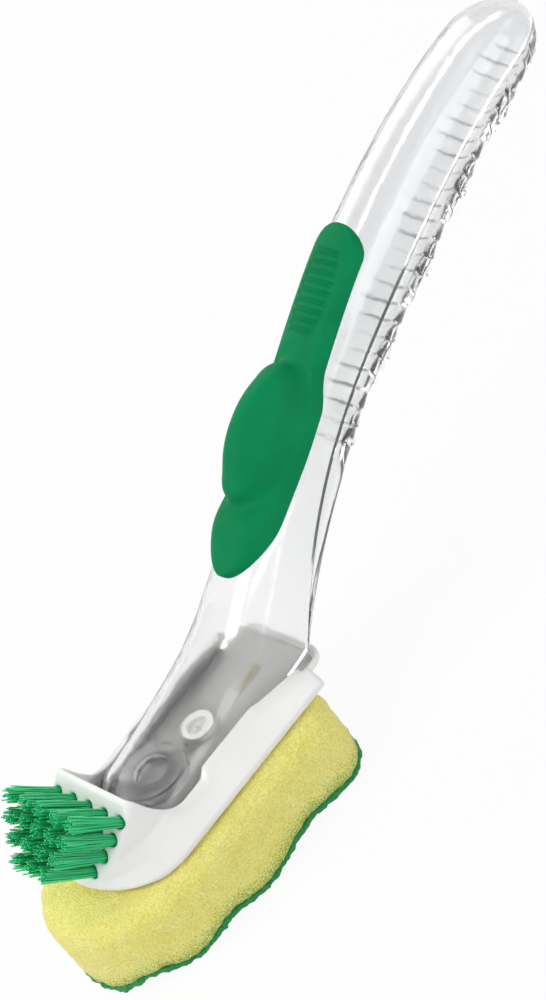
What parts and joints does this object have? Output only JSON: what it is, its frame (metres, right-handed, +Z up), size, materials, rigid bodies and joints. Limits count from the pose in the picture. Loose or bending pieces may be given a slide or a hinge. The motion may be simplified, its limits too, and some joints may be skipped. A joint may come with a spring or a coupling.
{
  "type": "dish wand",
  "caption": "Soap dispensing dish wand: clear hollow handle with a squeeze bulb, on a slide-off head with a nose brush and a wavy scrubbing sponge.",
  "frame": {"origin": "centre of the scrubbing face of the sponge, on its flat crest", "axes": "+X from the sponge's nose towards the handle's tip, +Y across the width, +Z up away from the scrubbing face"},
  "size_m": [0.27, 0.0566, 0.1163],
  "materials": {
    "clear_plastic": "clear moulded plastic, polished",
    "soft_green": "satin soft-touch rubber",
    "gasket_rubber": "matte",
    "valve_rubber": "milky silicone",
    "white_plastic": "semi-gloss moulded plastic",
    "sponge_foam": "open-cell foam",
    "scour_fibre": "rough fibre web",
    "green_bristle": "nylon filament",
    "staple_steel": "plain"
  },
  "bodies": {
    "handle": {"front_shell": "clear_plastic", "back_shell": "clear_plastic", "sole_plate": "clear_plastic", "grip_pad": "soft_green", "slit_valve": "valve_rubber", "valve_ring": "white_plastic"},
    "bulb": {"pump_bulb": "soft_green"},
    "cap": {"fill_cap": "clear_plastic", "cap_gasket": "gasket_rubber"},
    "head": {"head_tray": "white_plastic", "sponge_block": "sponge_foam", "scour_pad": "scour_fibre", "tuft_anchors": "staple_steel", "bristle_tuft_01": "green_bristle", "bristle_tuft_02": "green_bristle", "bristle_tuft_03": "green_bristle", "bristle_tuft_04": "green_bristle", "bristle_tuft_05": "green_bristle", "bristle_tuft_06": "green_bristle", "bristle_tuft_07": "green_bristle", "bristle_tuft_08": "green_bristle", "bristle_tuft_09": "green_bristle", "bristle_tuft_10": "green_bristle", "bristle_tuft_11": "green_bristle", "bristle_tuft_12": "green_bristle", "bristle_tuft_13": "green_bristle", "bristle_tuft_14": "green_bristle", "bristle_tuft_15": "green_bristle", "bristle_tuft_16": "green_bristle", "bristle_tuft_17": "green_bristle"}
  },
  "joints": [
    {"name": "bulb_press", "type": "slide", "parent": "handle", "child": "bulb", "axis": [0.4499, 0, -0.8931], "range_m": [0, 0.005], "stiffness_N_per_m": 900},
    {"name": "cap_turn", "type": "hinge", "parent": "handle", "child": "cap", "pos_m": [0.0026, 0, 0.0285], "axis": [0, 0, 1], "range_deg": [0, 90]},
    {"name": "head_slide", "type": "slide", "parent": "handle", "child": "head", "axis": [-1, 0, 0], "range_m": [0, 0.062]}
  ]
}
